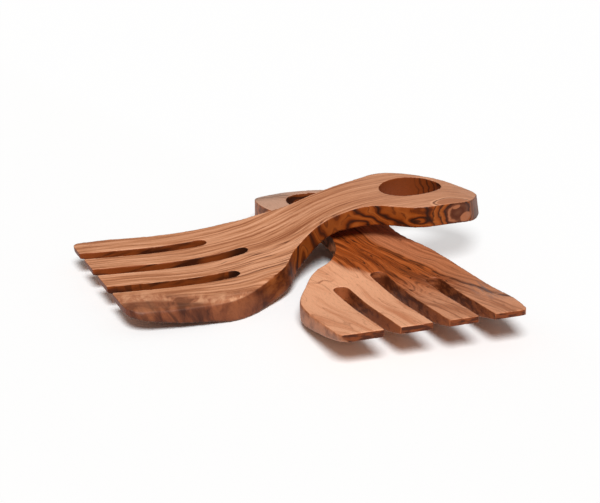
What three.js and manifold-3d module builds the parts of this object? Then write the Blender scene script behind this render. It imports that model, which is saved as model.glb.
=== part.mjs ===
// A pair of carved wooden salad servers, one lying across the other. They are mirror images of each
// other, and each is cut from one board: four tines, a belly, a neck and a handle with a finger hole.
import * as THREE from "three";
import { mergeVertices } from "three/addons/utils/BufferGeometryUtils.js";
import Module from "manifold-3d";

const wasm = await Module();
wasm.setup();

// All sizes are in millimetres. A server's own X runs from its tine tips to the end of its handle,
// its own Y points to its bulging side, and its own Z points up from the table.

// Lengths along a server, one after the other.
const bladeLength = 88; // tine tips to the shoulder
const neckLength = 30; // shoulder to the narrowest place
const handleLength = 77; // narrowest place to the end

// Distances from a server's X axis to its two edges: the straighter one and the bulging one.
const bladeStraight = 37.2;
const neckStraight = 20.4;
const handleStraight = 23.4;
const bladeBulge = 53.6;
const neckBulge = 12.3;
const handleBulge = 30;
const endOffset = 5.5; // the far end of the handle lies this far to the bulging side
const tipSkew = 5.6; // the tines at the bulging side are this much shorter
const straightCornerRadius = 5; // at the outermost tine of the straighter edge

// Thicknesses.
const tipThickness = 2.8;
const bellyThickness = 12.4;
const neckThickness = 8.4;
const handleThickness = 10.8;

// Openings.
const slotWidth = 7.7;
const holeLength = 31; // the finger hole is oval, longer along the handle
const holeWidth = 26;
const holeToEnd = 30.2; // centre of the finger hole to the end of the handle

// What differs between the two, since each is carved by hand. tipRise and humpRise are the heights of
// the underside over the table at the tine tips and in the handle, handleDrop is how much lower the
// handle is carved at its straighter edge, holeAcross is the finger hole's distance from the X axis,
// and a slot lies across from that axis and ends before the shoulder.
const lower = {
  tipRise: 15.6,
  humpRise: 7.8,
  handleDrop: 0,
  bulgeCornerRadius: 3,
  holeAcross: 3.4,
  slots: [
    { across: -15.7, beforeShoulder: 26.7 },
    { across: 6, beforeShoulder: 11.2 },
    { across: 28.8, beforeShoulder: 21.3 },
  ],
};
const upper = {
  tipRise: 20,
  humpRise: 12.2,
  handleDrop: 1.9,
  bulgeCornerRadius: 10,
  holeAcross: -0.8,
  slots: [
    { across: -18.4, beforeShoulder: 25.4 },
    { across: 2.6, beforeShoulder: 10.6 },
    { across: 24.9, beforeShoulder: 21.8 },
  ],
};

// How the pair lies: the two X axes cross at crossAngle, this far behind each server's narrowest place.
const upperBehindNeck = 10.4;
const lowerBehindNeck = 4.2;
const crossAngle = THREE.MathUtils.degToRad(92);
const touchGap = 0.3; // left between the two where they touch

// Fineness of the curves.
const outlineSteps = 5; // for each outline point
const profileSteps = 64;
const holeSteps = 48;
const tiltHalvings = 20;
const steepestTilt = THREE.MathUtils.degToRad(20);

const blade = (share) => share * bladeLength;
const neck = (share) => bladeLength + share * neckLength;
const handle = (share) => bladeLength + neckLength + share * handleLength;
const between = THREE.MathUtils.lerp;
const length = handle(1);
const upperCrossing = neck(1) + upperBehindNeck;
const lowerCrossing = neck(1) + lowerBehindNeck;

// The outline from the straighter edge of the blade, round the end of the handle, to the bulging edge.
function outlinePoints() {
  const straight = [
    [blade(0.21), -bladeStraight],
    [blade(0.49), -between(neckStraight, bladeStraight, 0.94)],
    [blade(0.77), -between(neckStraight, bladeStraight, 0.83)],
    [neck(0.18), -between(neckStraight, bladeStraight, 0.56)],
    [neck(0.89), -neckStraight],
    [handle(0.27), -neckStraight],
    [handle(0.53), -handleStraight],
    [handle(0.78), -between(-endOffset, handleStraight, 0.62)],
    [handle(0.91), -between(-endOffset, handleStraight, 0.29)],
  ];
  const bulging = [
    [handle(0.98), between(endOffset, handleBulge, 0.3)],
    [handle(0.83), between(endOffset, handleBulge, 0.93)],
    [handle(0.54), between(neckBulge, handleBulge, 0.93)],
    [handle(0.28), between(neckBulge, handleBulge, 0.13)],
    [handle(0.08), neckBulge],
    [neck(0.66), between(neckBulge, bladeBulge, 0.03)],
    [neck(0.24), between(neckBulge, bladeBulge, 0.23)],
    [blade(0.99), between(neckBulge, bladeBulge, 0.49)],
    [blade(0.85), between(neckBulge, bladeBulge, 0.71)],
    [blade(0.64), between(neckBulge, bladeBulge, 0.96)],
    [blade(0.38), bladeBulge],
  ];
  return [...straight, [length, endOffset], ...bulging].map(([x, y]) => new THREE.Vector2(x, y));
}

// X of the line of tine tips at a distance across the blade.
function tipX(across) {
  return (tipSkew * (across + bladeStraight)) / (bladeStraight + bladeBulge);
}

// The outline seen from above, with the slots open at the tine tips.
function planShape(server) {
  const points = outlinePoints();
  const straightCorner = -between(neckStraight, bladeStraight, 0.92);
  const bulgeCorner = between(neckBulge, bladeBulge, 0.99);
  const shape = new THREE.Shape();
  shape.moveTo(straightCornerRadius, straightCorner);
  shape.splineThru(points);
  shape.lineTo(server.bulgeCornerRadius + tipX(bulgeCorner), bulgeCorner);
  const lastTip = bulgeCorner - server.bulgeCornerRadius;
  shape.quadraticCurveTo(tipX(bulgeCorner), bulgeCorner, tipX(lastTip), lastTip);
  for (const { across, beforeShoulder } of [...server.slots].reverse()) {
    const radius = slotWidth / 2;
    const centre = bladeLength - beforeShoulder - radius;
    shape.lineTo(tipX(across + radius), across + radius);
    shape.lineTo(centre, across + radius);
    shape.absarc(centre, across, radius, Math.PI / 2, -Math.PI / 2, true);
    shape.lineTo(tipX(across - radius), across - radius);
  }
  const firstTip = straightCorner + straightCornerRadius;
  shape.lineTo(tipX(firstTip), firstTip);
  shape.quadraticCurveTo(tipX(straightCorner), straightCorner, straightCornerRadius, straightCorner);
  return shape;
}

// The side view: the underside rises from the belly to the tips and over the hump of the handle, and
// the belly is sanded flat where it lies on the table.
function profileShape({ tipRise, humpRise }) {
  const toBelly = (share) => between(tipThickness, bellyThickness, share);
  const stations = [
    [blade(0), tipRise, tipThickness],
    [blade(0.23), 0.59 * tipRise, toBelly(0.42)],
    [blade(0.45), 0.31 * tipRise, toBelly(0.62)],
    [blade(0.66), 0.055 * tipRise, toBelly(0.92)],
    [blade(0.8), 0, toBelly(0.98)],
    [blade(0.95), 0, bellyThickness],
    [neck(0.4), 0.34 * humpRise, between(neckThickness, bellyThickness, 0.6)],
    [neck(1), 0.98 * humpRise, neckThickness],
    [handle(0.22), 0.96 * humpRise, between(neckThickness, handleThickness, 0.75)],
    [handle(0.48), 0.82 * humpRise, handleThickness],
    [handle(0.7), 0.7 * humpRise, handleThickness],
    [handle(0.86), 0.43 * humpRise, handleThickness],
    [handle(1), 0, handleThickness],
  ];
  const curve = new THREE.CatmullRomCurve3(stations.map((station) => new THREE.Vector3(...station)));
  const samples = curve.getPoints(profileSteps).map(({ x, y, z }) => {
    const under = Math.max(0, y);
    return { x, under, top: under + z };
  });
  const underside = samples.map(({ x, under }) => new THREE.Vector2(x, under));
  const topSide = samples.map(({ x, top }) => new THREE.Vector2(x, top)).reverse();
  return new THREE.Shape([...underside, ...topSide]);
}

function toSolid(geometry) {
  geometry.deleteAttribute("normal");
  geometry.deleteAttribute("uv");
  const merged = mergeVertices(geometry, 1e-4);
  const vertProperties = merged.getAttribute("position").array;
  const triVerts = new Uint32Array(merged.index.array);
  return new wasm.Manifold(new wasm.Mesh({ numProp: 3, vertProperties, triVerts }));
}

function toGeometry(solid) {
  const { vertProperties, triVerts } = solid.getMesh();
  return new THREE.BufferGeometry()
    .setAttribute("position", new THREE.BufferAttribute(vertProperties, 3))
    .setIndex(new THREE.BufferAttribute(triVerts, 1));
}

// Lowers the handle toward its straighter edge, and leaves it flat where it lies on the table.
function withDrop(geometry, handleDrop) {
  const places = geometry.getAttribute("position");
  for (let i = 0; i < places.count; i++) {
    const along = THREE.MathUtils.smoothstep(places.getX(i), handle(0.42), handle(0.8));
    const across = (handleBulge - places.getY(i)) / (handleBulge + handleStraight);
    places.setZ(i, Math.max(0, places.getZ(i) - handleDrop * along * across));
  }
  return geometry;
}

// One server with its bulging side to +Y: the plan cut through the side view, less the finger hole.
function serverGeometry(server) {
  const height = 4 * (server.tipRise + bellyThickness);
  const width = 4 * (bladeStraight + bladeBulge);
  const extrusion = { bevelEnabled: false, curveSegments: outlineSteps };
  const plan = new THREE.ExtrudeGeometry(planShape(server), { ...extrusion, depth: height });
  plan.translate(0, 0, -height / 2);
  const side = new THREE.ExtrudeGeometry(profileShape(server), { ...extrusion, depth: width });
  side.rotateX(Math.PI / 2).translate(0, width / 2, 0);
  const hole = new THREE.CylinderGeometry(0.5, 0.5, height, holeSteps).rotateX(Math.PI / 2);
  hole.scale(holeLength, holeWidth, 1).translate(length - holeToEnd, server.holeAcross, 0);
  const body = toSolid(plan).intersect(toSolid(side)).subtract(toSolid(hole));
  return withDrop(toGeometry(body), server.handleDrop);
}

// Turns a server round, so that its bulging side is at -Y.
function mirrored(geometry) {
  const turned = geometry.clone().scale(1, -1, 1);
  const { array } = turned.getIndex();
  for (let i = 0; i < array.length; i += 3) {
    [array[i + 1], array[i + 2]] = [array[i + 2], array[i + 1]];
  }
  return turned;
}

// The upper server with its handle tilted up by an angle and its belly on the table.
function tilted(geometry, tilt) {
  const placed = geometry.clone().rotateY(-tilt);
  placed.computeBoundingBox();
  return { placed, lift: -placed.boundingBox.min.z };
}

// The tilt at which the upper server's neck comes down on the lower one, found by halving.
function restingTilt(upperGeometry, lowerMesh) {
  const lowerGeometry = lowerMesh.geometry.clone().applyMatrix4(lowerMesh.matrixWorld);
  const raised = toSolid(lowerGeometry.translate(0, 0, touchGap));
  let touching = 0;
  let clear = steepestTilt;
  for (let i = 0; i < tiltHalvings; i++) {
    const middle = (touching + clear) / 2;
    const { placed, lift } = tilted(upperGeometry, middle);
    placed.translate(-upperCrossing, 0, lift);
    if (toSolid(placed).intersect(raised).volume() > 0) touching = middle;
    else clear = middle;
  }
  return clear;
}

function serverMesh(name, geometry, color) {
  const material = new THREE.MeshStandardMaterial({ color, roughness: 0.5, metalness: 0 });
  const mesh = new THREE.Mesh(geometry, material);
  mesh.name = name;
  return mesh;
}

const pair = new THREE.Group();

const lowerServer = serverMesh("lower_server", serverGeometry(lower), "#b9744a");
lowerServer.position.x = -lowerCrossing;
const lowerPlace = new THREE.Group().add(lowerServer);
lowerPlace.rotation.z = crossAngle;
lowerPlace.updateMatrixWorld(true);

const upperServer = serverMesh("upper_server", mirrored(serverGeometry(upper)), "#a9663f");
const tilt = restingTilt(upperServer.geometry, lowerServer);
upperServer.rotation.y = -tilt;
upperServer.position.set(-upperCrossing, 0, tilted(upperServer.geometry, tilt).lift);

// The origin is at the bottom centre of the pair's box.
pair.add(lowerPlace, upperServer);
const box = new THREE.Box3().setFromObject(pair, true);
const centre = box.getCenter(new THREE.Vector3());
pair.position.set(-centre.x, -centre.y, -box.min.z);

export default pair;
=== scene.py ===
import math
import bmesh
import bpy
from mathutils import Euler, Matrix, Vector
from mathutils.bvhtree import BVHTree
from mathutils.kdtree import KDTree


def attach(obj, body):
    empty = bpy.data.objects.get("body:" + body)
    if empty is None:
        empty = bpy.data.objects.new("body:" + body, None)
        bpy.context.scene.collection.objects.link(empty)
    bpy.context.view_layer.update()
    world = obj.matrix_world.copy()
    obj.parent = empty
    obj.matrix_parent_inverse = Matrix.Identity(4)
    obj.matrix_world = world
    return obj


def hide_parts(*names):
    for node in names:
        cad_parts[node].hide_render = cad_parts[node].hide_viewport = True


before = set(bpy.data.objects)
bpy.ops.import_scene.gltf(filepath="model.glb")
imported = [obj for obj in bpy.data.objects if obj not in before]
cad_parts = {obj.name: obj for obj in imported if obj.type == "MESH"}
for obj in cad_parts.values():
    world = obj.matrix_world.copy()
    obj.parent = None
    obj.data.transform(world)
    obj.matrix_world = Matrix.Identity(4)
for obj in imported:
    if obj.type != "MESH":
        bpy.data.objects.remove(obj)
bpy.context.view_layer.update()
print("frame loaded:", sorted(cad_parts))

scene = bpy.context.scene
scene.view_settings.view_transform = "Standard"
mm = 0.001


class Field:  # one number that varies over a surface, with Python's operators making Math nodes
    def __init__(self, graph, socket):
        self.graph = graph
        self.socket = socket

    def math(self, operation, *others):
        return self.graph.maths(operation, self, *others)

    def __add__(self, other):
        return self.math("ADD", other)

    def __radd__(self, other):
        return self.math("ADD", other)

    def __sub__(self, other):
        return self.math("SUBTRACT", other)

    def __rsub__(self, other):
        return self.graph.maths("SUBTRACT", other, self)

    def __mul__(self, other):
        return self.math("MULTIPLY", other)

    def __rmul__(self, other):
        return self.math("MULTIPLY", other)

    def __truediv__(self, other):
        return self.math("DIVIDE", other)

    def __rtruediv__(self, other):
        return self.graph.maths("DIVIDE", other, self)

    def __abs__(self):
        return self.math("ABSOLUTE")

    def __pow__(self, other):
        return self.math("POWER", other)

    def __mod__(self, other):
        return self.math("FLOORED_MODULO", other)

    def step(self, low, high):  # 0 at low, 1 at high, smooth between
        return self.graph.spread(self, low, high)

    def bump(self, centre, reach):  # 1 at centre, 0 beyond reach on either side
        return self.graph.spread(abs(self - centre), reach, 0.0)


class MaterialGraph:  # the node tree of one material
    def __init__(self, name):
        self.material = bpy.data.materials.new(name)
        self.material.use_nodes = True
        self.tree = self.material.node_tree
        self.tree.nodes.clear()

    # a socket's name is written with _ for a space, or as i and its number where names repeat
    def node(self, kind, settings=None, output=0, **inputs):
        made = self.tree.nodes.new(kind)
        for name, value in (settings or {}).items():
            if name == "stops":
                self.setStops(made.color_ramp, value)
            else:
                setattr(made, name, value)
        for name, value in inputs.items():
            slot = int(name[1:]) if name[0] == "i" and name[1:].isdigit() else name.replace("_", " ")
            self.feed(made.inputs[slot], value)
        return made.outputs[output] if output is not None else made

    def setStops(self, ramp, stops):
        first, *middle, last = stops
        ramp.elements[0].position, ramp.elements[0].color = first
        ramp.elements[1].position, ramp.elements[1].color = last
        for place, colour in middle:
            ramp.elements.new(place).color = colour

    def feed(self, slot, value):
        if isinstance(value, Field):
            value = value.socket
        if isinstance(value, bpy.types.NodeSocket):
            self.tree.links.new(value, slot)
        else:
            slot.default_value = value

    def maths(self, operation, *values):
        made = self.node("ShaderNodeMath", {"operation": operation}, output=None)
        for slot, value in zip(made.inputs, values):
            self.feed(slot, value)
        return Field(self, made.outputs[0])

    def spread(self, value, low, high):
        settings = {"interpolation_type": "SMOOTHSTEP"}
        ends = {"From_Min": low, "From_Max": high}
        if low > high:
            ends = {"From_Min": high, "From_Max": low, "To_Min": 1.0, "To_Max": 0.0}
        return Field(self, self.node("ShaderNodeMapRange", settings, Value=value, **ends))

    def noise(self, x, y, z, detail=2.0, roughness=0.5, distortion=0.0):
        spot = self.node("ShaderNodeCombineXYZ", X=x, Y=y, Z=z)
        return Field(self, self.node("ShaderNodeTexNoise", Vector=spot, Scale=1.0, Detail=detail,
                                     Roughness=roughness, Distortion=distortion))

    def dot(self, first, second):
        settings = {"operation": "DOT_PRODUCT"}
        return Field(self, self.node("ShaderNodeVectorMath", settings, output="Value", i0=first, i1=second))

    def mix(self, share, first, second):  # 6, 7 and 2 are the colour sockets of a Mix node
        settings = {"data_type": "RGBA", "clamp_factor": True}
        return self.node("ShaderNodeMix", settings, output=2, i0=share, i6=first, i7=second)

    def ramp(self, value, *stops):
        return self.node("ShaderNodeValToRGB", {"stops": stops}, Fac=value)


def paint(red, green, blue):  # a colour as a paint chart gives it, 0 to 255, made linear as sRGB says
    def linear(level):
        level /= 255
        return level / 12.92 if level <= 0.04045 else ((level + 0.055) / 1.055) ** 2.4
    return (linear(red), linear(green), linear(blue), 1.0)


oil = {  # what the open grain and the oiled finish look like on both servers
    "pores": (0.5, 0.7),
    "poreColour": paint(70, 34, 18),
    "poreShade": 0.2,
    "poreDepth": 0.12,
    "poreBump": 0.25,
    "sheen": 0.22,
    "roughnessSpread": 0.16,
}

faces = {  # where the hole's wall and the end grain begin, and where they are full
    "holeWall": (1.2, 1.1),
    "endGrain": (0.7, 0.95),
}


def placeOf(look):
    turn = Euler([math.radians(angle) for angle in look["turn"]])
    return Matrix.LocRotScale(Vector(look["tips"]) * mm, turn, None)


class Wood(MaterialGraph):  # a wood that knows its server's own directions
    def __init__(self, name, look):
        super().__init__(name)
        self.look = look
        place = placeOf(look)
        spot = self.node("ShaderNodeTexCoord", output="Object")
        normal = self.node("ShaderNodeTexCoord", output="Normal")
        own = self.node("ShaderNodeMapping", {"vector_type": "TEXTURE"}, Vector=spot,
                        Location=place.to_translation(), Rotation=place.to_euler(), Scale=(mm, mm, mm))
        split = self.node("ShaderNodeSeparateXYZ", output=None, Vector=own)
        self.along, across, self.up = [Field(self, socket) for socket in split.outputs]
        self.across = across * look["bulgeSide"]
        lengthwise, _, upright = place.to_3x3().col
        self.endOn = abs(self.dot(normal, lengthwise))  # 1 where the surface is cut across the grain
        self.flat = abs(self.dot(normal, upright))  # 1 on the top and the underside
        self.pores = self.noise(self.along * 0.3, self.across * 3.2, self.up * 3.2, detail=3.0)

    def wander(self, along, across, up, detail=1.0):  # slow and even, about -0.5 to 0.5
        return self.noise(self.along * along, self.across * across, self.up * up, detail=detail) - 0.5

    def streaks(self, along, flow, up, **settings):  # noise drawn out along the grain
        return self.noise(self.along * along, self.flow * flow, self.up * up, **settings)

    def bands(self, field, reach):  # one soft band for each whole step of the field
        return (field % 1).bump(0.5, reach)

    def veins(self, field, mark):  # thin lines, so many from one end of the field to the other
        return self.bands(field * mark["count"], mark["reach"])

    def fromOval(self, first, second, oval):  # 0 at the oval's centre, 1 on its edge
        firstCentre, secondCentre = oval["centre"]
        firstHalf, secondHalf = oval["half"]
        return (((first - firstCentre) / firstHalf) ** 2 + ((second - secondCentre) / secondHalf) ** 2) ** 0.5

    def join(self, top, side, slotWall, hole, tip):  # each face of the server gets its own colour
        look = self.look
        slots = look["slots"]
        inSlots = self.across.bump(*slots["across"]).step(0.0, slots["fade"])
        side = self.mix(inSlots * self.along.step(*slots["along"]), side, slotWall)
        fromHole = self.fromOval(self.along, self.across, look["fingerHole"])
        side = self.mix(fromHole.step(*faces["holeWall"]), side, hole)
        atTips = self.endOn.step(*faces["endGrain"]) * self.along.step(*look["tineEnds"])
        side = self.mix(atTips, side, tip)
        return self.mix(self.flat.step(*look["topEdge"]), side, top)

    def finish(self, colour):
        shade = self.pores.step(*oil["pores"]) * oil["poreShade"]
        colour = self.mix(shade, colour, oil["poreColour"])
        normal = self.node("ShaderNodeBump", Strength=oil["poreBump"], Distance=oil["poreDepth"] * mm,
                           Height=self.pores)
        roughness = self.pores * oil["roughnessSpread"] + self.look["roughness"]
        shader = self.node("ShaderNodeBsdfPrincipled", Base_Color=colour, Roughness=roughness,
                           Specular_IOR_Level=oil["sheen"], Normal=normal)
        self.node("ShaderNodeOutputMaterial", output=None, Surface=shader)
        print("wood mixed:", self.material.name)
        return self.material


# Each server is described from its own tine tips: along to the handle's end, across to its bulging
# side, and up from the table, in millimetres. tips and turn say where that lies in the room. A pair
# is where a mark begins and where it is full, or its middle and how far it reaches on either side.
# In a noise, the number beside along, across, flow or up is how fast it changes, per millimetre.
lowerServer = {
    "node": "lower_server",
    "body": "lower",
    "slot": "light_olive_wood",
    "tips": (37.94, -98.08, 0.0),
    "turn": (0.0, 0.0, 92.0),
    "bulgeSide": 1.0,
    "rolledEdge": {"reach": 7.5, "passes": 70},
    "softTop": {"reach": 2.5, "passes": 8},
    "roughness": 0.4,
    "topEdge": (0.5, 0.8),
    "fingerHole": {"centre": (164.8, 3.4), "half": (15.5, 13.0)},
    "slots": {"across": (6, 40), "along": (86, 82), "fade": 0.06},
    "tineEnds": (20, 16),
    "handle": (118, 150),
    "fan": {"from": 100, "over": 100, "spread": 0.9, "slant": 0.3},
    "bend": {"across": (22, 50), "until": 60, "strength": 0.45},
    "waver": {"slow": 14, "quick": 3},
    "heart": paint(158, 72, 22),
    "heartLight": paint(184, 96, 44),
    "heartDeep": paint(108, 44, 10),
    "heartLine": paint(52, 20, 6),
    "paleHeart": {"along": (72, 20), "strength": 0.45},
    "flames": {"count": 15, "reach": 0.24, "where": (0.66, 0.44), "strength": 0.85},
    "threads": {"count": 38, "reach": 0.36, "where": (0.62, 0.44), "strength": 0.45},
    "tineTop": paint(220, 154, 116),
    "tineTopDeep": paint(182, 116, 80),
    "tines": {"along": (74, 28), "strength": 0.85, "linesLost": 0.85},
    "calm": paint(194, 120, 80),
    "calmDeep": paint(152, 84, 48),
    "calmSide": {"flow": (-6.0, -10.0), "lines": 0.3, "tines": 0.45},
    "boldLine": {"flow": (-6.5, 1.4), "waver": 3, "where": (0.36, 0.5), "strength": 0.8},
    "smoke": paint(116, 100, 98),
    "smokyPatch": {"along": (35, 24), "across": (-31, 9), "where": (0.44, 0.6), "strength": 0.8},
    "sap": paint(236, 170, 130),
    "sapDeep": paint(208, 134, 94),
    "sapLine": paint(146, 78, 44),
    "sapVeins": {"count": 6, "reach": 0.07, "strength": 0.4},
    "zigzag": {"along": 73, "across": (34, 9), "teeth": 0.15, "height": 5, "waver": 8,
               "width": (1.2, 0.2), "strength": 0.7},
    "sapSide": {"flow": (15.5, 20), "waver": 6, "fray": 4, "narrows": (68, 96), "narrowsBy": 6,
                "along": (108, 96)},
    "handleTop": paint(206, 160, 134),
    "handleTopDeep": paint(164, 110, 80),
    "wedges": {"along": (172, 182), "across": (6, 14), "waver": 4, "reach": 0.34, "strength": 0.85},
    "edge": paint(206, 132, 90),
    "edgeDeep": paint(160, 92, 56),
    "darkerHandle": {"along": (128, 150), "strength": 0.65},
    "rimStripes": {"along": (92, 104), "swirl": 9, "tilt": 0.05, "reach": 0.36, "strength": 0.85,
                   "faintOver": (150, 176), "faintBy": 0.4},
    "slotWall": paint(170, 94, 54),
    "slotWallDeep": paint(108, 52, 26),
    "wallDrift": {"from": 44, "along": -0.0022, "across": 0.0022},
    "hole": paint(128, 60, 20),
    "holeStripes": {"where": (0.15, 0.75), "strength": 0.9},
    "endGrain": paint(132, 64, 28),
    "endGrainDeep": paint(76, 32, 12),
    "tipDrift": {"across": (-36, 40), "by": -0.1},
}


class LowerWood(Wood):  # pale sapwood on the bulging side, dark striped heartwood over the rest
    def layGrain(self):
        fan, bend, waver = self.look["fan"], self.look["bend"], self.look["waver"]
        slow = self.wander(along=0.018, across=0.03, up=0.03)
        self.quick = self.wander(along=0.05, across=0.09, up=0.09, detail=2.0)
        # the grain fans out from the neck over the blade, and bends inward over the bulge
        spread = 1 + (fan["from"] - self.along).step(0, fan["over"]) * fan["spread"]
        inward = self.across.step(*bend["across"]) * (bend["until"] - self.along) * bend["strength"]
        flow = self.across - (self.along - fan["from"]) * fan["slant"] + inward
        self.flow = (flow + slow * waver["slow"] + self.quick * waver["quick"]) / spread
        self.broad = self.streaks(along=0.012, flow=0.16, up=0.04, detail=2.0, distortion=0.5)
        self.fine = self.streaks(along=0.02, flow=0.65, up=0.1, detail=3.0, roughness=0.65)
        self.mixed = self.broad * 0.4 + self.fine * 0.6

    def darkLines(self):
        flames, threads = self.look["flames"], self.look["threads"]
        flame = self.veins(self.broad, flames)
        thread = self.veins(self.broad, threads) * self.fine.step(*threads["where"])
        return flame * self.fine.step(*flames["where"]) * flames["strength"] + thread * threads["strength"]

    def heartwood(self, lines, onTines):
        look = self.look
        pale, tines = look["paleHeart"], look["tines"]
        heart = self.ramp(self.mixed, (0.37, look["heartDeep"]), (0.48, look["heart"]),
                          (0.6, look["heartLight"]))
        heart = self.mix(self.along.bump(*pale["along"]) * pale["strength"], heart, look["heartLight"])
        tineTop = self.mix(self.fine.step(0.36, 0.58), look["tineTopDeep"], look["tineTop"])
        heart = self.mix(onTines, heart, tineTop)
        return self.mix(lines * (1 - onTines * tines["linesLost"]), heart, look["heartLine"])

    def calmWood(self, lines, onTines):
        look = self.look
        calmSide = look["calmSide"]
        calm = self.ramp(self.mixed, (0.38, look["calmDeep"]), (0.56, look["calm"]))
        calm = self.mix(lines * calmSide["lines"], calm, look["heartLine"])
        return self.mix(onTines * calmSide["tines"], calm, look["tineTop"])

    def boldLine(self):
        bold = self.look["boldLine"]
        line = (self.flow + self.quick * bold["waver"]).bump(*bold["flow"])
        return line * self.noise(self.along * 0.09, 0.0, 2.0).step(*bold["where"]) * bold["strength"]

    def smokyPatch(self):
        patch = self.look["smokyPatch"]
        smoke = self.noise(self.along * 0.07, self.across * 0.5, 0.0, detail=4.0, roughness=0.6)
        smoke = smoke.step(*patch["where"]) * self.along.bump(*patch["along"])
        return smoke * self.across.bump(*patch["across"]) * patch["strength"]

    def sapwood(self):
        look = self.look
        veins, zigzag = look["sapVeins"], look["zigzag"]
        sap = self.ramp(self.broad * 0.7 + self.fine * 0.3, (0.36, look["sapDeep"]), (0.5, look["sap"]))
        sap = self.mix(self.veins(self.broad, veins) * veins["strength"], sap, look["sapLine"])
        # one crooked dark line runs across the sapwood
        teeth = abs(((self.across * zigzag["teeth"] + self.quick) % 1) - 0.5) * zigzag["height"]
        teeth = teeth + self.quick * zigzag["waver"]
        line = abs(self.along - zigzag["along"] - teeth).step(*zigzag["width"])
        line = line * self.across.bump(*zigzag["across"]) * zigzag["strength"]
        return self.mix(line, sap, look["sapLine"])

    def sapShare(self):
        sapSide = self.look["sapSide"]
        edge = self.flow + self.quick * sapSide["waver"] + self.fine * sapSide["fray"]
        edge = edge - self.along.step(*sapSide["narrows"]) * sapSide["narrowsBy"]
        return edge.step(*sapSide["flow"]) * self.along.step(*sapSide["along"])

    def handleTop(self):
        look = self.look
        wedges = look["wedges"]
        grip = self.ramp(self.mixed, (0.38, look["handleTopDeep"]), (0.52, look["handleTop"]))
        wedge = self.bands(self.along * 0.22 - self.across * 0.16 + self.quick * wedges["waver"],
                           wedges["reach"])
        wedge = wedge * self.along.step(*wedges["along"]) * self.across.step(*wedges["across"])
        return self.mix(wedge * wedges["strength"], grip, look["heartLine"])

    def rim(self, stripe):
        look = self.look
        stripes, darker = look["rimStripes"], look["darkerHandle"]
        rim = self.noise(self.along * 0.14, self.up * 0.12, self.across * 0.08, detail=4.0, roughness=0.6)
        rim = self.ramp(rim, (0.38, look["edgeDeep"]), (0.58, look["edge"]))
        rim = self.mix(self.along.step(*darker["along"]) * darker["strength"], rim, look["heartLight"])
        strength = stripes["strength"] - self.along.step(*stripes["faintOver"]) * stripes["faintBy"]
        return self.mix(stripe * self.along.step(*stripes["along"]) * strength, rim, look["heartLine"])

    def slotWall(self):
        look = self.look
        drift = look["wallDrift"]
        wall = self.noise(self.along * 0.16, self.up * 0.3, self.across * 0.1, detail=4.0, roughness=0.65)
        wall = wall + (self.along - drift["from"]) * drift["along"] + self.across * drift["across"]
        return self.ramp(wall, (0.42, look["slotWallDeep"]), (0.58, look["slotWall"]))

    def tipFace(self):
        look = self.look
        drift = look["tipDrift"]
        tip = self.noise(self.across * 0.22, self.up * 0.7, self.along * 0.1, detail=3.0)
        tip = tip + self.across.step(*drift["across"]) * drift["by"]
        return self.ramp(tip, (0.38, look["endGrainDeep"]), (0.52, look["endGrain"]))


def lowerWood(look):
    wood = LowerWood("figured_olive_wood", look)
    wood.layGrain()
    lines = wood.darkLines()
    onTines = wood.along.step(*look["tines"]["along"]) * look["tines"]["strength"]
    calmShare = wood.flow.step(*look["calmSide"]["flow"])
    blade = wood.mix(calmShare, wood.heartwood(lines, onTines), wood.calmWood(lines, onTines))
    blade = wood.mix(wood.boldLine(), blade, look["heartLine"])
    blade = wood.mix(wood.smokyPatch(), blade, look["smoke"])
    blade = wood.mix(wood.sapShare(), blade, wood.sapwood())
    top = wood.mix(wood.along.step(*look["handle"]), blade, wood.handleTop())

    stripes, holeStripes = look["rimStripes"], look["holeStripes"]
    swirl = wood.wander(along=0.04, across=0.03, up=0.07, detail=1.5)
    stripe = wood.bands(swirl * stripes["swirl"] + wood.along * stripes["tilt"], stripes["reach"])
    hole = wood.mix(stripe.step(*holeStripes["where"]) * holeStripes["strength"], look["hole"],
                    look["heartLine"])
    return wood.finish(wood.join(top, wood.rim(stripe), wood.slotWall(), hole, wood.tipFace()))


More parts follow.
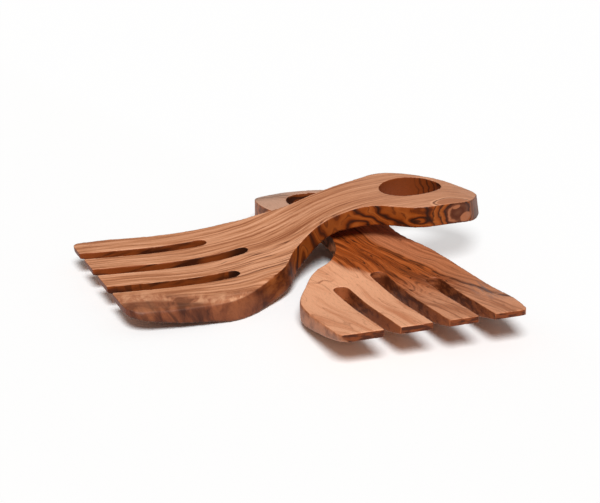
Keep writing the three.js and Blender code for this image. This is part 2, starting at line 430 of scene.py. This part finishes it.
upperServer = {
    "node": "upper_server",
    "body": "upper",
    "slot": "dark_olive_wood",
    "tips": (-94.73, 24.05, -10.16),
    "turn": (0.0, -8.988, 0.0),
    "bulgeSide": -1.0,
    "rolledEdge": {"reach": 1.8, "passes": 8},
    "softTop": {"reach": 9.0, "passes": 60},
    "roughness": 0.42,
    "topEdge": (0.45, 0.8),
    "fingerHole": {"centre": (164.8, -0.8), "half": (15.5, 13.0)},
    "slots": {"across": (3.5, 30), "along": (82, 79), "fade": 0.04},
    "tineEnds": (24, 20),
    "sideStripes": (88, 94),
    "waver": {"slow": 12, "quick": 2.5, "slant": 0.03},
    "top": paint(198, 132, 92),
    "topLight": paint(230, 168, 130),
    "topDeep": paint(150, 86, 52),
    "topLine": paint(94, 48, 28),
    "handleTop": paint(204, 146, 114),
    "handle": {"along": (112, 165), "strength": 0.5},
    "darkerNeck": {"along": (116, 26), "strength": 0.22},
    "denseGrain": {"flow": (19, 22), "flowFull": 0.7, "along": (92, 60), "alongFull": 0.6},
    "brightLines": {"count": 9, "reach": 0.3, "where": (0.4, 0.54), "strength": 0.1, "dense": 0.7},
    "darkLines": {"count": 11, "reach": 0.22, "where": (0.6, 0.44), "strength": 0.15, "dense": 0.8,
                  "shift": 0.06},
    "turned": paint(176, 110, 76),
    "turnedLight": paint(214, 154, 116),
    "turnedDeep": paint(124, 70, 44),
    "turnedEdge": {"from": 42, "widens": (6, 52), "widensBy": 11, "dips": (28, 30), "dipsBy": 3,
                   "fray": 6, "waver": 4, "edge": (-9.5, -0.5), "along": (100, 74), "strength": 0.9,
                   "bellyFrom": (2.0, 5.5), "bellyStrength": 0.9},
    "belly": paint(124, 66, 40),
    "bellyLight": paint(154, 88, 54),
    "bellyDeep": paint(72, 34, 20),
    "smokyBelly": {"where": (0.44, 0.6), "along": (28, 34), "strength": 0.75,
                   "tips": (22, 8), "tipStrength": 0.3},
    "shoulder": paint(112, 50, 14),
    "shoulderDeep": paint(74, 30, 8),
    "shoulderLight": paint(150, 80, 36),
    "shoulderAlong": (62, 78),
    "stripe": paint(142, 66, 14),
    "stripeLight": paint(168, 88, 32),
    "stripeDeep": paint(86, 34, 6),
    "stripeLine": paint(46, 19, 7),
    "stripes": {"leanAlong": (112, 134), "upright": 5.4, "from": 131, "spacing": 11, "lean": 0.9,
                "swirl": 3.2},
    "thinStripes": {"count": 3.0, "reach": 0.2, "where": (0.4, 0.5), "strength": 0.7},
    "shadedNeck": {"along": (116, 22), "strength": 0.4},
    "eye": {"centre": (156.4, 13.2), "half": (2.6, 1.4), "pull": (2.6, 0.4), "pullBy": 0.9,
            "dark": (0.9, 0.4), "strength": 0.85},
    "knot": paint(108, 58, 34),
    "knotLight": paint(174, 106, 70),
    "rings": {"along": 177, "across": 29.8, "up": 13, "narrow": 0.9, "flatten": 1.2, "warp": 6,
              "reach": 14.0, "rim": 13.4},
    "crescent": {"away": (5.0, 1.2), "along": (177, 173)},
    "knotPatches": ({"centre": (176.6, 16.2), "half": (2.1, 0.9)},
                    {"centre": (180.8, 9.4), "half": (3.4, 2.2)}),
    "patchEdge": {"oval": (1.15, 0.85), "across": (22, 26)},
    "handleEnd": {"along": (183, 187), "strength": 0.7},
    "arch": {"centre": (176, 27.5), "half": (11.5, 6.5), "warp": 0.3, "flat": (0.5, 0.8),
             "rim": (1.06, 0.98), "rimStrength": 0.9, "line": (0.82, 0.1), "lineStrength": 0.9,
             "middle": (0.76, 0.66), "middleStrength": 0.85},
    "slotWall": paint(138, 64, 22),
    "slotWallDeep": paint(70, 28, 8),
    # painted shade: the slot walls darken towards the slots' deep ends
    "paintedRootShade": {"along": (58, 84), "by": -0.12},
    "darkerOutwards": {"across": (4, 22), "by": -0.03},
    "wallBands": {"where": (0.46, 0.56), "across": (8, 14), "roots": (54, 66), "tips": (30, 16),
                  "tipStrength": 0.5},
    # painted shade: a near-black mark on the walls at the middle slot's deep end
    "middleRootShade": {"along": (62, 75), "across": (2.6, 9), "full": 0.3, "strength": 0.9},
    "hole": paint(132, 60, 20),
    "holeStripes": {"waver": 4, "reach": 0.26, "along": (169, 176), "strength": 0.8},
    "endGrain": paint(120, 56, 26),
}


class UpperWood(Wood):  # straight grain on top, a mottled bulge, and bold stripes on the handle's side
    def layGrain(self):
        waver = self.look["waver"]
        slow = self.wander(along=0.014, across=0.03, up=0.03)
        self.quick = self.wander(along=0.045, across=0.08, up=0.1, detail=2.0)
        flow = self.across + slow * waver["slow"] + self.quick * waver["quick"]
        self.flow = flow - self.along * waver["slant"]
        self.broad = self.streaks(along=0.009, flow=0.16, up=0.04, detail=2.0, distortion=0.4)
        self.fine = self.streaks(along=0.014, flow=0.62, up=0.1, detail=3.0, roughness=0.72)
        self.mottle = self.noise(self.along * 0.13 + self.across * 0.03, self.up * 0.05, self.across * 0.08,
                                 detail=5.0, roughness=0.62, distortion=0.6)
        self.warp = self.noise(self.along * 0.16, self.up * 0.2, self.across * 0.12, detail=2.0) - 0.5

    def straightTop(self):
        look = self.look
        handle, neck, dense = look["handle"], look["darkerNeck"], look["denseGrain"]
        bright, dark = look["brightLines"], look["darkLines"]
        top = self.ramp(self.broad * 0.25 + self.fine * 0.75, (0.37, look["topDeep"]), (0.49, look["top"]),
                        (0.62, look["topLight"]))
        top = self.mix(self.along.step(*handle["along"]) * handle["strength"], top, look["handleTop"])
        top = self.mix(self.along.bump(*neck["along"]) * neck["strength"], top, look["topDeep"])
        crowd = self.flow.bump(*dense["flow"]).step(0.0, dense["flowFull"])
        crowd = crowd * self.along.bump(*dense["along"]).step(0.0, dense["alongFull"])
        line = self.veins(self.broad, bright) * self.fine.step(*bright["where"])
        top = self.mix(line * (crowd * bright["dense"] + bright["strength"]), top, look["topLight"])
        line = self.veins(self.broad + dark["shift"], dark) * self.fine.step(*dark["where"])
        return self.mix(line * (crowd * dark["dense"] + dark["strength"]), top, look["topLine"])

    def belly(self):
        look = self.look
        smoky = look["smokyBelly"]
        belly = self.ramp(self.mottle, (0.36, look["bellyDeep"]), (0.48, look["belly"]),
                          (0.64, look["bellyLight"]))
        smoke = self.noise(self.along * 0.3 + self.up * 0.12, self.up * 0.05, 7.0, detail=3.0)
        smoke = smoke.step(*smoky["where"]) * self.along.bump(*smoky["along"]) * smoky["strength"]
        return self.mix(smoke + self.along.step(*smoky["tips"]) * smoky["tipStrength"], belly,
                        look["bellyDeep"])

    # towards the bulge the surface turns down, and shows short mottled grain
    def turnDown(self, top, belly):
        look = self.look
        edge = look["turnedEdge"]
        turned = self.ramp(self.mottle, (0.4, look["turnedDeep"]), (0.5, look["turned"]),
                           (0.6, look["turnedLight"]))
        beyond = self.across - self.along.step(*edge["widens"]) * edge["widensBy"] - edge["from"]
        beyond = beyond + self.mottle * edge["fray"] + self.quick * edge["waver"]
        beyond = beyond + self.along.bump(*edge["dips"]) * edge["dipsBy"]
        turned = self.mix(beyond.step(*edge["bellyFrom"]) * edge["bellyStrength"], turned, belly)
        turning = beyond.step(*edge["edge"]) * self.along.step(*edge["along"])
        return self.mix(turning * edge["strength"], top, turned)

    def shoulder(self):
        look = self.look
        blotch = self.noise(self.along * 0.11, self.up * 0.2, self.across * 0.11, detail=4.0, roughness=0.62)
        return self.ramp(blotch, (0.38, look["shoulderDeep"]), (0.49, look["shoulder"]),
                         (0.64, look["shoulderLight"]))

    # bold stripes stand upright at the neck, and lean and swirl in the handle round a small dark eye
    def boldStripes(self):
        look = self.look
        stripes, thin, eye = look["stripes"], look["thinStripes"], look["eye"]
        leaning = self.along.step(*stripes["leanAlong"])
        upright = self.noise(self.along * 0.085, self.up * 0.03, self.across * 0.02, detail=2.0,
                             roughness=0.4)
        swirl = self.noise(self.along * 0.06, self.up * 0.09, self.across * 0.04, detail=2.4, roughness=0.45)
        leant = (self.along + self.up * stripes["lean"] - stripes["from"]) / stripes["spacing"]
        leant = leant + (swirl - 0.5) * stripes["swirl"]
        fromEye = self.fromOval(self.along, self.up, eye)
        phase = upright * stripes["upright"] * (1 - leaning) + leant * leaning
        phase = phase + fromEye.step(*eye["pull"]) * eye["pullBy"]
        bold = self.ramp(phase % 1, (0.0, look["stripeLine"]), (0.05, look["stripeLine"]),
                         (0.14, look["stripeDeep"]), (0.28, look["stripe"]), (0.6, look["stripeLight"]),
                         (0.8, look["stripe"]), (0.93, look["stripeDeep"]), (1.0, look["stripeLine"]))
        second = self.veins(phase, thin) * self.fine.step(*thin["where"])
        bold = self.mix(second * thin["strength"], bold, look["stripeDeep"])
        return self.mix(fromEye.step(*eye["dark"]) * eye["strength"], bold, look["stripeLine"])

    # a knot near the end of the handle, with rings that run over its top edge
    def addKnot(self, bold):
        look = self.look
        rings, crescent, patchEdge = look["rings"], look["crescent"], look["patchEdge"]
        alongIt = self.along - rings["along"]
        upIt = (self.up - rings["up"]) * rings["flatten"]
        acrossIt = (self.across - rings["across"]) * rings["narrow"]
        away = (alongIt ** 2 + upIt ** 2 + acrossIt ** 2) ** 0.5 + self.warp * rings["warp"]
        knot = self.ramp(away / rings["reach"], (0.0, look["knot"]), (0.2, look["stripeDeep"]),
                         (0.36, look["knot"]), (0.46, look["stripeDeep"]), (0.54, look["stripeLine"]),
                         (0.6, look["stripe"]), (0.68, look["stripeLight"]), (0.74, look["stripeLine"]),
                         (0.79, look["stripe"]), (0.9, look["stripeLight"]), (0.96, look["stripeLine"]),
                         (1.0, look["stripe"]))
        pale = away.bump(*crescent["away"]) * self.along.step(*crescent["along"])
        knot = self.mix(pale, knot, look["knotLight"])
        for patch in look["knotPatches"]:
            pale = (self.fromOval(self.along, self.up, patch) + self.warp).step(*patchEdge["oval"])
            knot = self.mix(pale * self.across.step(*patchEdge["across"]), knot, look["knotLight"])
        return self.mix(away.step(rings["reach"], rings["rim"]), bold, knot)

    def handleSide(self):
        look = self.look
        neck, end = look["shadedNeck"], look["handleEnd"]
        side = self.addKnot(self.boldStripes())
        side = self.mix(self.along.bump(*neck["along"]) * neck["strength"], side, look["stripeDeep"])
        return self.mix(self.along.step(*end["along"]) * end["strength"], side, look["knot"])

    def slotWall(self):
        look = self.look
        roots, outwards = look["paintedRootShade"], look["darkerOutwards"]
        bands, middle = look["wallBands"], look["middleRootShade"]
        wall = self.noise(self.along * 0.05, self.up * 0.3, self.across * 0.06, detail=3.0)
        # painted shade, deepening towards the roots of the slots
        wall = wall + self.along.step(*roots["along"]) * roots["by"]
        wall = wall + self.across.step(*outwards["across"]) * outwards["by"]
        wall = self.ramp(wall, (0.34, look["slotWallDeep"]), (0.52, look["slotWall"]))
        banded = self.noise(self.along * 0.26, self.up * 0.05, 4.0, detail=2.0).step(*bands["where"])
        banded = banded * self.across.step(*bands["across"])
        ends = self.along.step(*bands["roots"]) + self.along.step(*bands["tips"]) * bands["tipStrength"]
        wall = self.mix(banded * ends, wall, look["stripeLine"])
        # painted shade in the middle slot's deep end
        inMiddle = self.across.bump(*middle["across"]).step(0.0, middle["full"])
        root = self.along.step(*middle["along"]) * inMiddle
        return self.mix(root * middle["strength"], wall, look["stripeLine"])

    def holeWall(self):
        look = self.look
        stripes = look["holeStripes"]
        stripe = self.along * 0.3 + self.across * 0.06 + self.up * 0.05 + self.quick * stripes["waver"]
        stripe = self.bands(stripe, stripes["reach"]) * self.along.step(*stripes["along"])
        return self.mix(stripe * stripes["strength"], look["hole"], look["stripeLine"])

    def bendRings(self, colour):  # the knot's last rings, where they come over the top edge
        look = self.look
        arch = look["arch"]
        away = self.fromOval(self.along, self.across, arch) + self.warp * arch["warp"]
        onTop = self.flat.step(*arch["flat"])
        colour = self.mix(away.step(*arch["rim"]) * onTop * arch["rimStrength"], colour, look["topLight"])
        colour = self.mix(away.bump(*arch["line"]) * onTop * arch["lineStrength"], colour, look["topLine"])
        return self.mix(away.step(*arch["middle"]) * onTop * arch["middleStrength"], colour, look["turned"])


def upperWood(look):
    wood = UpperWood("striped_olive_wood", look)
    wood.layGrain()
    belly = wood.belly()
    top = wood.turnDown(wood.straightTop(), belly)
    belly = wood.mix(wood.along.step(*look["shoulderAlong"]), belly, wood.shoulder())
    side = wood.mix(wood.along.step(*look["sideStripes"]), belly, wood.handleSide())
    colour = wood.join(top, side, wood.slotWall(), wood.holeWall(), look["endGrain"])
    return wood.finish(wood.bendRings(colour))


carving = {
    "voxel": 0.6,
    "weldDistance": 0.01,
    "sanding": 0.5,
    "sandingPasses": 1,
    "sharpAngle": 28,
    "edgeStep": 0.2,
    "edgeReach": 0.36,
}

easing = {  # how far along the server the bulging side is eased, and how deep at most
    "slice": 2.0,
    "flattest": 5.0,  # blades thinner than this keep their upper edge
    "lower": {"fadeIn": 14, "end": 112, "fadeOut": 26, "deepest": 0.62},
    "upper": {"fadeIn": 20, "end": 84, "fadeOut": 24, "deepest": 0.45},
}


def surfaceOf(node):  # the plain server, with its loose triangles joined
    shape = bmesh.new()
    shape.from_mesh(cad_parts[node].data)
    bmesh.ops.remove_doubles(shape, verts=shape.verts, dist=carving["weldDistance"] * mm)
    return shape


def evenFaces(piece):  # the same body in small even faces
    remesh = piece.modifiers.new("evenFaces", "REMESH")
    remesh.mode = "VOXEL"
    remesh.voxel_size = carving["voxel"] * mm
    bpy.context.view_layer.update()
    even = bpy.data.meshes.new_from_object(piece.evaluated_get(bpy.context.evaluated_depsgraph_get()))
    piece.modifiers.clear()
    shape = bmesh.new()
    shape.from_mesh(even)
    bpy.data.meshes.remove(even)
    return shape


def sand(shape, verts, passes):
    for _ in range(passes):
        bmesh.ops.smooth_vert(shape, verts=verts, factor=carving["sanding"],
                              use_axis_x=True, use_axis_y=True, use_axis_z=True)


def sharpEdges(plain):  # close points along every edge of the plain server
    points = []
    for edge in plain.edges:
        if edge.is_manifold and edge.calc_face_angle() > math.radians(carving["sharpAngle"]):
            first, second = (vert.co for vert in edge.verts)
            steps = math.ceil(edge.calc_length() / (carving["edgeStep"] * mm))
            points += [first.lerp(second, step / steps) for step in range(steps)]
    tree = KDTree(len(points))
    for number, point in enumerate(points):
        tree.insert(point, number)
    tree.balance()
    return tree


def snap(shape, plain):  # back onto the plain surface, and onto its edges where they are near
    surface = BVHTree.FromBMesh(plain)
    edges = sharpEdges(plain)
    for vert in shape.verts:
        vert.co = surface.find_nearest(vert.co)[0]
        point, _, gap = edges.find(vert.co)
        if gap < carving["edgeReach"] * mm:
            vert.co = point


def reachOf(easedEdge, run, along):  # in full along the bulge, fading out at the tips and the neck
    left = max(0.0, run["end"] - along)
    return easedEdge["reach"] * min(1.0, along / run["fadeIn"], left / run["fadeOut"])


def bulgeEdges(shape, look):  # the vertices near the lower and the upper edge of the bulging side
    inward = placeOf(look).inverted()
    spots = []
    outline = {}
    for vert in shape.verts:
        spot = inward @ vert.co
        along, across, up = spot.x / mm, spot.y / mm * look["bulgeSide"], spot.z / mm
        piece = int(along // easing["slice"])
        spots.append((vert, along, across, up, piece))
        edge, under, top = outline.get(piece, (-math.inf, math.inf, -math.inf))
        outline[piece] = (max(edge, across), min(under, up), max(top, up))
    below, above = [], []
    for vert, along, across, up, piece in spots:
        edge, under, top = outline[piece]
        thick = top - under
        reach = reachOf(look["rolledEdge"], easing["lower"], along)
        if across > edge - reach and up < under + min(reach, easing["lower"]["deepest"] * thick):
            below.append(vert)
        reach = reachOf(look["softTop"], easing["upper"], along)
        deep = min(reach, easing["upper"]["deepest"] * thick)
        if across > edge - reach and up > top - deep and thick > easing["flattest"]:
            above.append(vert)
    return below, above


def carve(look, material):  # a sanded copy of the plain server, with the edges of its bulge eased
    name = look["node"] + "_wood"
    piece = bpy.data.objects.new(name, bpy.data.meshes.new(name))
    scene.collection.objects.link(piece)
    plain = surfaceOf(look["node"])
    plain.to_mesh(piece.data)
    shape = evenFaces(piece)
    snap(shape, plain)
    plain.free()
    below, above = bulgeEdges(shape, look)
    sand(shape, below, look["rolledEdge"]["passes"])
    sand(shape, above, look["softTop"]["passes"])
    sand(shape, shape.verts, carving["sandingPasses"])
    for face in shape.faces:
        face.smooth = True
    shape.to_mesh(piece.data)
    shape.free()
    piece.data.materials.clear()
    piece.data.materials.append(material)
    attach(piece, look["body"])
    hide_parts(look["node"])
    print("carved", look["node"], len(piece.data.polygons), "faces")


carve(lowerServer, lowerWood(lowerServer))
carve(upperServer, upperWood(upperServer))

# The table is a plain white sheet that keeps soft shadows, and sends back less light than it shows.
# On the far right it shows a painted glow, so that the raised handle's shadow is paler.
table = {
    "size": 6.0,
    "shown": (1.0, 1.0, 1.0, 1.0),
    "sentBack": (0.62, 0.62, 0.62, 1.0),
    "paintedGlow": 0.55,
    "farRight": (0.95, 0.31, 0.0),
    "paintedGlowFrom": 0.05,
    "paintedGlowFully": 0.08,
}


def layTable():
    shape = bmesh.new()
    bmesh.ops.create_grid(shape, x_segments=1, y_segments=1, size=table["size"] / 2)
    mesh = bpy.data.meshes.new("table")
    shape.to_mesh(mesh)
    shape.free()
    sheet = bpy.data.objects.new("table", mesh)
    scene.collection.objects.link(sheet)
    graph = MaterialGraph("white_table")
    rays = graph.node("ShaderNodeLightPath", output=None)
    seen = graph.maths("MAXIMUM", rays.outputs["Is Camera Ray"], rays.outputs["Is Glossy Ray"])
    seen = graph.maths("MAXIMUM", seen, rays.outputs["Is Transmission Ray"])
    colour = graph.mix(seen, table["sentBack"], table["shown"])
    sheetOnly = graph.node("ShaderNodeBsdfDiffuse", Color=colour)
    # painted light: the table glows on its far right, where it is seen, to pale the handle's shadow
    glowShader = graph.node("ShaderNodeEmission", Color=table["shown"])
    outwards = graph.dot(graph.node("ShaderNodeTexCoord", output="Object"), table["farRight"])
    share = outwards.step(table["paintedGlowFrom"], table["paintedGlowFully"]) * table["paintedGlow"] * seen
    shader = graph.node("ShaderNodeMixShader", i0=share, i1=sheetOnly, i2=glowShader)
    graph.node("ShaderNodeOutputMaterial", output=None, Surface=shader)
    mesh.materials.append(graph.material)


layTable()

light = {  # one wide window, and a faint warm light from all round
    "sky": 0.22,
    "skyTint": (1.0, 0.86, 0.79, 1.0),
    "window": 3.08,
    "windowTint": (1.0, 1.035, 1.05),
    "windowSize": 24,
    "windowHeading": -107,
    "windowHeight": 52,
}


def lightScene():
    world = bpy.data.worlds.new("studio")
    scene.world = world
    world.use_nodes = True
    background = world.node_tree.nodes["Background"]
    background.inputs["Color"].default_value = light["skyTint"]
    background.inputs["Strength"].default_value = light["sky"]
    window = bpy.data.lights.new("window", "SUN")
    window.energy = light["window"]
    window.color = light["windowTint"]
    window.angle = math.radians(light["windowSize"])
    lamp = bpy.data.objects.new("window", window)
    turn, rise = math.radians(light["windowHeading"]), math.radians(light["windowHeight"])
    level = math.cos(rise)
    towards = Vector((math.cos(turn) * level, math.sin(turn) * level, math.sin(rise)))
    lamp.rotation_euler = towards.to_track_quat("Z", "Y").to_euler()
    scene.collection.objects.link(lamp)


lightScene()

view = {  # degrees, metres, and the lens in millimetres
    "elevation": 22.38,
    "heading": 19.11,
    "distance": 1.00807,
    "aim": (0.01382, 0.0422, 0.0),
    "lens": 121.18,
}


def aimCamera():
    camera = bpy.data.objects.new("camera", bpy.data.cameras.new("camera"))
    turn, rise = math.radians(view["heading"]), math.radians(view["elevation"])
    level = math.cos(rise)
    away = Vector((-math.sin(turn) * level, -math.cos(turn) * level, math.sin(rise)))
    camera.location = Vector(view["aim"]) + away * view["distance"]
    camera.rotation_euler = away.to_track_quat("Z", "Y").to_euler()
    camera.data.lens = view["lens"]
    scene.collection.objects.link(camera)
    scene.camera = camera


aimCamera()
print("table, light and camera set")
